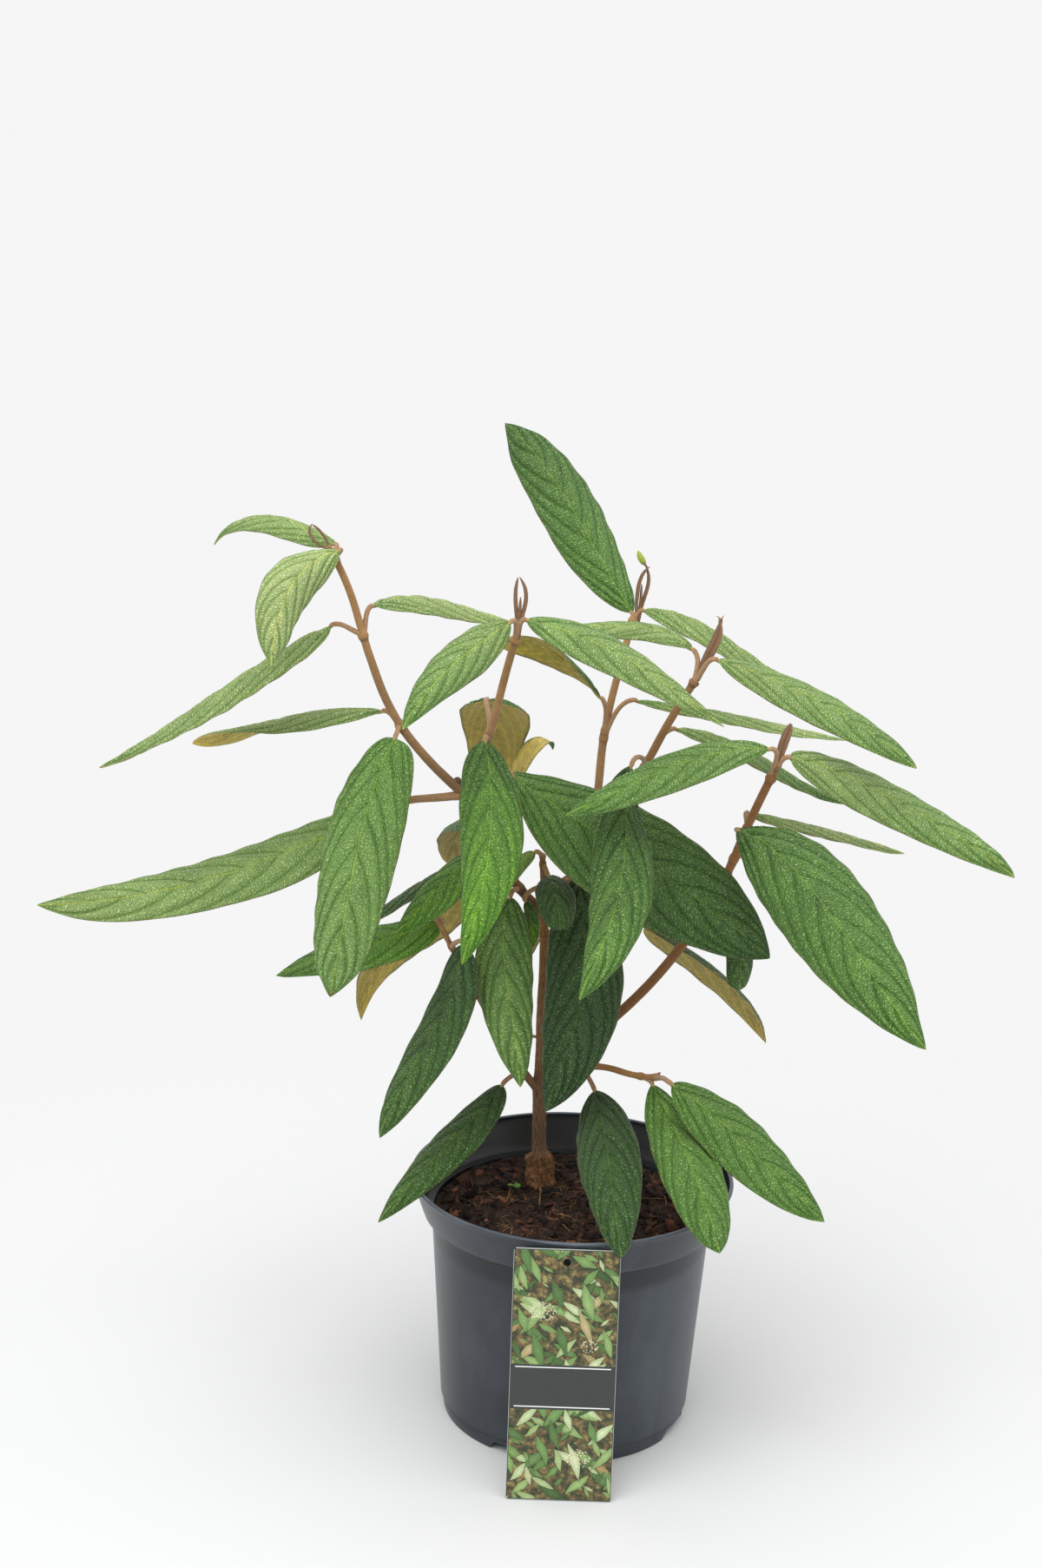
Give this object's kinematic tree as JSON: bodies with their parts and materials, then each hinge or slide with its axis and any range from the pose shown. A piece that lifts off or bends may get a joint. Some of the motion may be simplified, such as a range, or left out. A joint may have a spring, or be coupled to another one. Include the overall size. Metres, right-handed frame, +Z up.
{
  "type": "potted leatherleaf viburnum",
  "caption": "Young evergreen shrub with long wrinkled leaves on a few thin branching stems, growing in a round tapered plastic nursery pot with soil and a blank card leaning in front.",
  "frame": {"origin": "middle of the flat pad under the pot, on the ground", "axes": "+Z up along the pot's axis, the front of the plant with the card toward -Y, +X to the right seen from the front"},
  "size_m": [0.6474, 0.3362, 0.6834],
  "materials": {
    "pot": "satin blue-grey moulded plastic",
    "soil": "moist bark and peat compost",
    "bark": "grey-brown bark, tan felt on the young shoots",
    "leaf": "leathery wrinkled leaf, olive felt underneath",
    "card": "laminated card with a plain leafy pattern"
  },
  "bodies": {
    "root": {"pot": "pot", "soil": "soil", "trunk": "bark", "bough_left": "bark", "shoot_far_left": "bark", "shoot_centre_left": "bark", "bough_right": "bark", "shoot_centre_right": "bark", "shoot_right": "bark", "shoot_far_right": "bark", "bough_low_left": "bark", "twig_low_right": "bark", "shoot_inner": "bark", "leaf_far_left_1": "leaf", "leaf_far_left_2": "leaf", "leaf_far_left_3": "leaf", "leaf_far_left_4": "leaf", "leaf_far_left_5": "leaf", "leaf_far_left_6": "leaf", "leaf_far_left_7": "leaf", "leaf_centre_left_1": "leaf", "leaf_centre_left_2": "leaf", "leaf_centre_left_3": "leaf", "leaf_centre_left_4": "leaf", "leaf_centre_left_5": "leaf", "leaf_centre_right_1": "leaf", "leaf_centre_right_2": "leaf", "leaf_centre_right_3": "leaf", "leaf_centre_right_4": "leaf", "leaf_right_1": "leaf", "leaf_right_2": "leaf", "leaf_right_3": "leaf", "leaf_right_4": "leaf", "leaf_far_right_1": "leaf", "leaf_far_right_2": "leaf", "leaf_far_right_3": "leaf", "leaf_far_right_4": "leaf", "leaf_middle_1": "leaf", "leaf_middle_2": "leaf", "leaf_low_left_1": "leaf", "leaf_low_left_2": "leaf", "leaf_low_left_3": "leaf", "leaf_low_left_4": "leaf", "leaf_low_left_5": "leaf", "leaf_low_left_6": "leaf", "leaf_inner_1": "leaf", "leaf_inner_2": "leaf", "leaf_inner_3": "leaf", "leaf_low_right_1": "leaf", "leaf_low_right_2": "leaf", "leaf_skirt_1": "leaf", "leaf_skirt_2": "leaf", "leaf_skirt_3": "leaf", "leaf_skirt_4": "leaf", "leaf_back_1": "leaf", "leaf_back_2": "leaf", "leaf_back_3": "leaf", "leaf_back_4": "leaf", "plant_card": "card"}
  },
  "joints": []
}
